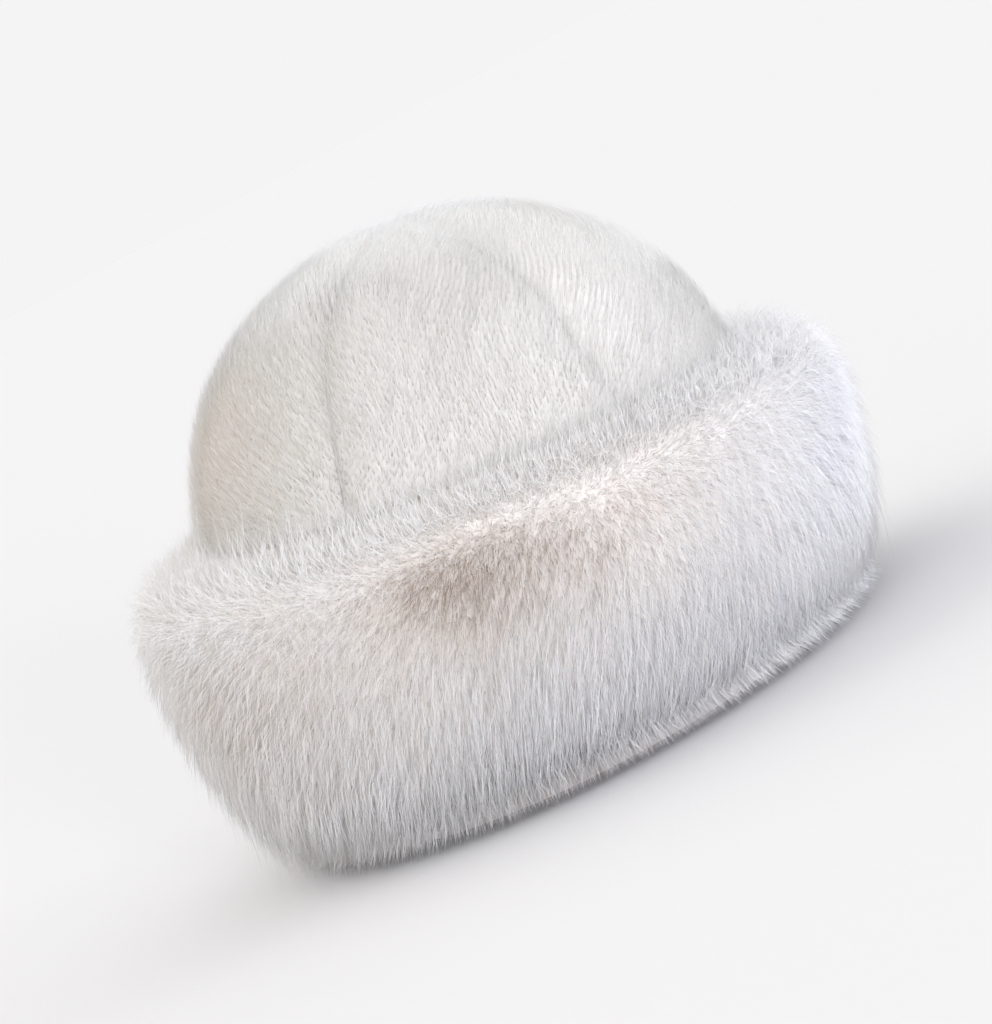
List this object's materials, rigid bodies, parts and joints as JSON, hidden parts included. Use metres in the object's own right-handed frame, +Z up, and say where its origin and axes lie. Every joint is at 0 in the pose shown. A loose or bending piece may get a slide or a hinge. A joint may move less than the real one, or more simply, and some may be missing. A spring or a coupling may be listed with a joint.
{
  "type": "telpek style fur hat",
  "caption": "Domed fur hat with a crown of sewn short-pile gores and a deep band of long hanging fur round its rim, open below for the head.",
  "frame": {"origin": "centre of the hat's outline on the surface that its rim rests on", "axes": "+Z up from the rim to the crown, -Y out of the front of the hat, +X to the wearer's left"},
  "size_m": [0.2734, 0.2894, 0.193],
  "materials": {
    "crown_fur": "short white fur pile on a supple skin",
    "band_fur": "long fluffy white fur in hanging locks"
  },
  "bodies": {
    "root": {"crown_gore_1": "crown_fur", "crown_gore_2": "crown_fur", "crown_gore_3": "crown_fur", "crown_gore_4": "crown_fur", "crown_gore_5": "crown_fur", "crown_gore_6": "crown_fur", "fur_band": "band_fur"}
  },
  "joints": []
}
